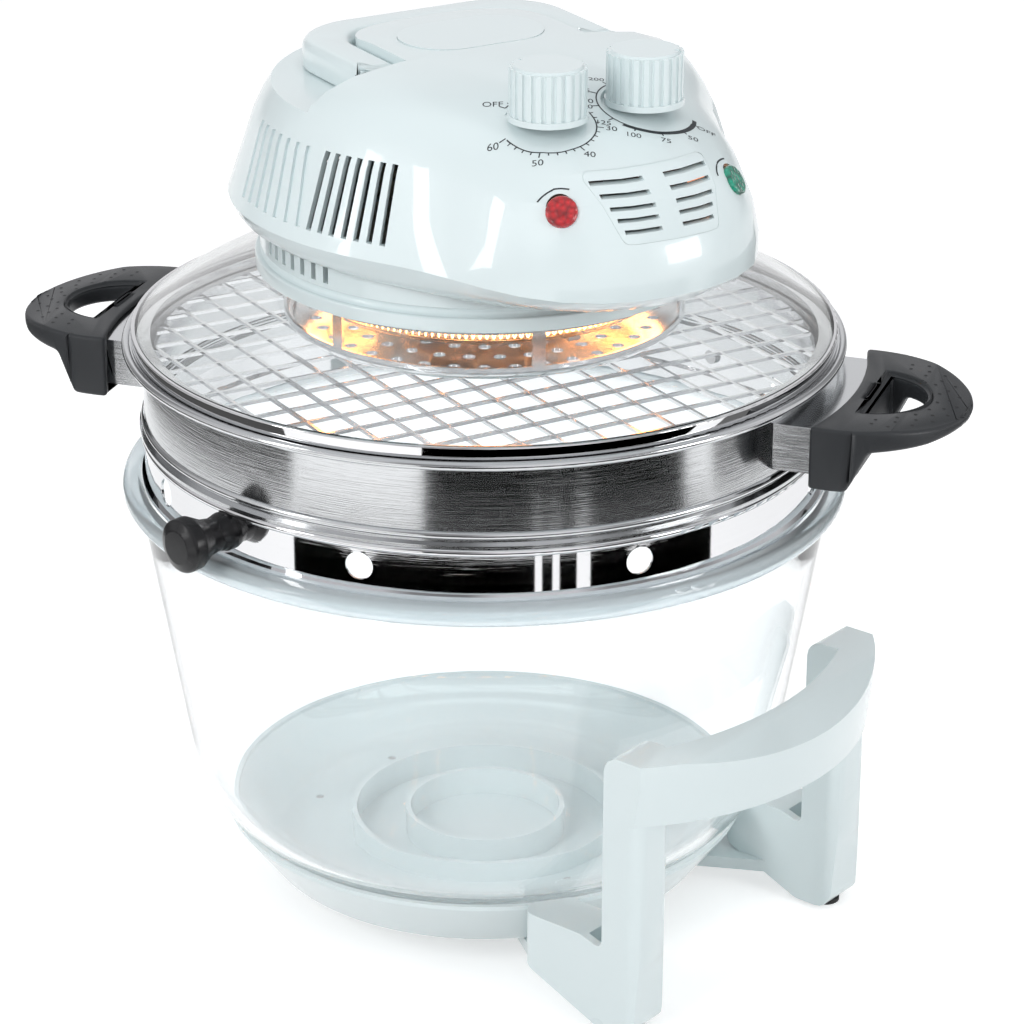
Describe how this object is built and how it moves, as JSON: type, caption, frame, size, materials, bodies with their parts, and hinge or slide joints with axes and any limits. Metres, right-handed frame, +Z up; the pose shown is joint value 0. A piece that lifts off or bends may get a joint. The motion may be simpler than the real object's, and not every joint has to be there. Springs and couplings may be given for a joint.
{
  "type": "halogen oven",
  "caption": "Countertop halogen oven: glass bowl in a white stand, steel rings with black grips, domed glass lid with a white head holding lamp, fan, timer and thermostat.",
  "frame": {"origin": "on the floor under the bowl's axis", "axes": "+Z up along the bowl's axis, -Y towards the front of the head with its two knobs, +X to the right seen from the front"},
  "size_m": [0.3626, 0.3754, 0.4296],
  "materials": {
    "white_plastic": "moulded gloss",
    "black_plastic": "fine grain",
    "steel": "bright stainless",
    "bright_steel": "plated",
    "screw_steel": "plain",
    "bowl_glass": "clear borosilicate",
    "lid_glass": "clear toughened",
    "lamp_glass": "glowing tube",
    "reflector_metal": "bright",
    "insulation": "felt",
    "core_steel": "laminated",
    "copper": "enamelled winding",
    "fan_metal": "pressed",
    "fan_plastic": "moulded",
    "red_lens": "clear tinted",
    "green_lens": "clear tinted",
    "lamp_body": "small neon",
    "control_body": "moulded",
    "red_plastic": "moulded",
    "block_plastic": "moulded",
    "pad_rubber": "plain"
  },
  "bodies": {
    "base": {"stand_dish": "white_plastic", "carry_frame": "white_plastic", "rear_feet": "white_plastic", "stand_screws": "screw_steel", "foot_pads": "pad_rubber"},
    "bowl": {"glass_bowl": "bowl_glass"},
    "ring": {"extension_ring": "steel", "ring_knob_left": "black_plastic", "ring_knob_right": "black_plastic", "ring_knob_screws": "screw_steel"},
    "pan": {"handle_ring": "steel", "grip_bracket_right": "steel", "grip_bracket_left": "steel", "grip_right": "black_plastic", "grip_left": "black_plastic", "grip_screws": "screw_steel"},
    "rack": {"wire_rack": "bright_steel"},
    "lid": {"glass_lid": "lid_glass", "lid_edge": "steel", "clamp_ring": "bright_steel", "clamp_screws": "screw_steel", "reflector": "reflector_metal", "halogen_lamp": "lamp_glass", "lamp_clips": "bright_steel", "guard_grille": "bright_steel", "insulation_pad": "insulation", "motor_bracket": "steel", "motor_stator": "core_steel", "motor_coil": "copper", "head_collar": "white_plastic", "head_housing": "white_plastic", "top_plate": "white_plastic", "front_grille": "white_plastic", "power_lens": "red_lens", "heat_lens": "green_lens", "lens_lamps": "lamp_body", "timer_unit": "control_body", "thermostat_unit": "control_body", "handle_pins": "screw_steel", "safety_switch": "black_plastic", "terminal_block": "block_plastic", "cord_gland": "black_plastic", "head_screws": "screw_steel"},
    "rotor": {"motor_shaft": "core_steel", "cooling_fan": "fan_plastic", "convection_fan": "fan_metal"},
    "timer_control": {"timer_shaft": "core_steel", "timer_knob": "white_plastic"},
    "thermostat_control": {"thermostat_shaft": "core_steel", "thermostat_knob": "white_plastic"},
    "handle": {"carry_handle": "white_plastic"},
    "plunger": {"switch_plunger": "red_plastic"}
  },
  "joints": [
    {"name": "bowl_lift", "type": "slide", "parent": "base", "child": "bowl", "axis": [0, 0, 1], "range_m": [0, 0.12]},
    {"name": "ring_lift", "type": "slide", "parent": "bowl", "child": "ring", "axis": [0, 0, 1], "range_m": [0, 0.06]},
    {"name": "pan_lift", "type": "slide", "parent": "ring", "child": "pan", "axis": [0, 0, 1], "range_m": [0, 0.06]},
    {"name": "rack_lift", "type": "slide", "parent": "pan", "child": "rack", "axis": [0, 0, 1], "range_m": [0, 0.06]},
    {"name": "lid_lift", "type": "slide", "parent": "rack", "child": "lid", "axis": [0, 0, 1], "range_m": [0, 0.12]},
    {"name": "rotor_spin", "type": "hinge", "parent": "lid", "child": "rotor", "pos_m": [0, 0, 0.3191], "axis": [0, 0, 1], "continuous": true},
    {"name": "timer_turn", "type": "hinge", "parent": "lid", "child": "timer_control", "pos_m": [-0.024, -0.095, 0.40557], "axis": [0, 0, -1], "range_deg": [0, 300]},
    {"name": "thermostat_turn", "type": "hinge", "parent": "lid", "child": "thermostat_control", "pos_m": [0.024, -0.095, 0.40557], "axis": [0, 0, -1], "range_deg": [0, 300]},
    {"name": "handle_turn", "type": "hinge", "parent": "lid", "child": "handle", "pos_m": [0, -0.004, 0.40381], "axis": [1, 0, 0], "range_deg": [0, 90]},
    {"name": "plunger_rise", "type": "slide", "parent": "lid", "child": "plunger", "axis": [0, 0, 1], "range_m": [0, 0.002]}
  ],
  "couplings": [
    {"joint": "plunger_rise", "follows": "handle_turn", "m_per_rad": 0.0012}
  ]
}
